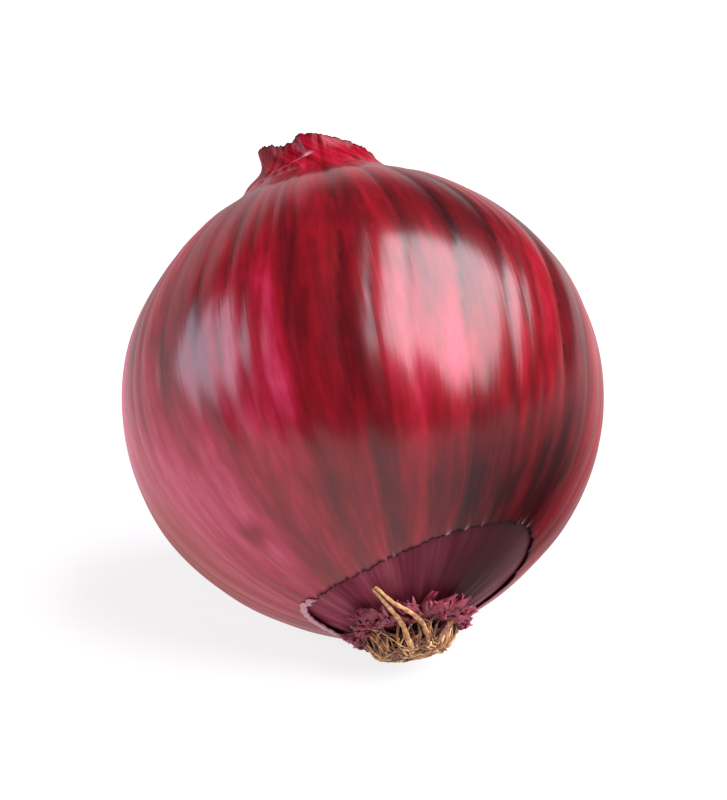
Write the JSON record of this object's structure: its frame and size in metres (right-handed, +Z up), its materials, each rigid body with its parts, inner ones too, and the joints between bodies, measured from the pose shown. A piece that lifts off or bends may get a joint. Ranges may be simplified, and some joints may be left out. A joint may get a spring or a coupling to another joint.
{
  "type": "red onion",
  "caption": "Whole red onion with papery outer skin torn open at the root end, dry neck leaves and a tuft of dry roots.",
  "frame": {"origin": "middle of the small flattened spot that the onion rests on", "axes": "+Z up from the table. The root end faces the front (-Y) and down, and the neck leans back (+Y) and to the left (-X)."},
  "size_m": [0.0774, 0.0766, 0.0756],
  "materials": {
    "dry_skin": "dry papery outer skin, dark crimson with finer stripes from root to neck, glossy where it is tight",
    "inner_skin": "smooth fleshy inner skin, dull mauve purple",
    "neck_leaf": "dry curled leaf ends, dark red with ragged brown rims",
    "corky_plate": "dull rough cork",
    "skin_scrap": "thin torn skin, purple to pale pink",
    "root_fibre": "dry tan root fibres"
  },
  "bodies": {
    "root": {"outer_skin": "dry_skin", "bulb": "inner_skin", "neck_leaf_1": "neck_leaf", "neck_leaf_2": "neck_leaf", "neck_leaf_3": "neck_leaf", "root_plate": "corky_plate", "skin_scrap_1": "skin_scrap", "skin_scrap_2": "skin_scrap", "skin_scrap_3": "skin_scrap", "skin_scrap_4": "skin_scrap", "skin_scrap_5": "skin_scrap", "skin_scrap_6": "skin_scrap", "skin_scrap_7": "skin_scrap", "root_01": "root_fibre", "root_02": "root_fibre", "root_03": "root_fibre", "root_04": "root_fibre", "root_05": "root_fibre", "root_06": "root_fibre", "root_07": "root_fibre", "root_08": "root_fibre", "root_09": "root_fibre", "root_10": "root_fibre", "root_11": "root_fibre", "root_12": "root_fibre"}
  },
  "joints": []
}
